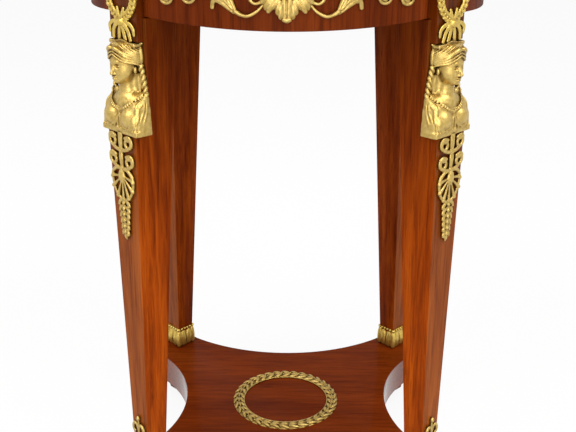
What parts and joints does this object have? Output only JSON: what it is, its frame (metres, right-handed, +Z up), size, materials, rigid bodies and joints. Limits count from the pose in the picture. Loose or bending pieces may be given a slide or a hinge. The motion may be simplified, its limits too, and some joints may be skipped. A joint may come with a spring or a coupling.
{
  "type": "gueridon table",
  "caption": "Round gueridon: mahogany top and curved apron on square tapered legs with gilt bronze busts and mounts, standing on a concave-sided undertier shelf.",
  "frame": {"origin": "on the floor under the middle of the table top", "axes": "+Z up, -Y towards the front rail, legs on the diagonals"},
  "size_m": [0.5299, 0.53, 0.719],
  "materials": {
    "mahogany": "french polished red-brown mahogany",
    "gilt_bronze": "mercury gilt bronze, matt grounds and burnished highlights",
    "screw_steel": "plain steel"
  },
  "bodies": {
    "root": {"apron_palmette_back": "gilt_bronze", "apron_palmette_front": "gilt_bronze", "apron_palmette_left": "gilt_bronze", "apron_palmette_right": "gilt_bronze", "apron_rail_back": "mahogany", "apron_rail_front": "mahogany", "apron_rail_left": "mahogany", "apron_rail_right": "mahogany", "apron_spray_back_left": "gilt_bronze", "apron_spray_back_right": "gilt_bronze", "apron_spray_front_left": "gilt_bronze", "apron_spray_front_right": "gilt_bronze", "apron_spray_left_left": "gilt_bronze", "apron_spray_left_right": "gilt_bronze", "apron_spray_right_left": "gilt_bronze", "apron_spray_right_right": "gilt_bronze", "bust_back_left": "gilt_bronze", "bust_back_right": "gilt_bronze", "bust_front_left": "gilt_bronze", "bust_front_right": "gilt_bronze", "corner_block_back_left": "mahogany", "corner_block_back_right": "mahogany", "corner_block_front_left": "mahogany", "corner_block_front_right": "mahogany", "foot_back_left": "mahogany", "foot_back_right": "mahogany", "foot_front_left": "mahogany", "foot_front_right": "mahogany", "leg_back_left": "mahogany", "leg_back_right": "mahogany", "leg_front_left": "mahogany", "leg_front_right": "mahogany", "leg_wreath_back_left": "gilt_bronze", "leg_wreath_back_right": "gilt_bronze", "leg_wreath_front_left": "gilt_bronze", "leg_wreath_front_right": "gilt_bronze", "pendant_back_left": "gilt_bronze", "pendant_back_right": "gilt_bronze", "pendant_front_left": "gilt_bronze", "pendant_front_right": "gilt_bronze", "sabot_back_left": "gilt_bronze", "sabot_back_right": "gilt_bronze", "sabot_front_left": "gilt_bronze", "sabot_front_right": "gilt_bronze", "sabot_palmette_back_left": "gilt_bronze", "sabot_palmette_back_right": "gilt_bronze", "sabot_palmette_front_left": "gilt_bronze", "sabot_palmette_front_right": "gilt_bronze", "shelf": "mahogany", "shelf_wreath": "gilt_bronze", "table_top": "mahogany", "top_screws": "screw_steel"}
  },
  "joints": []
}
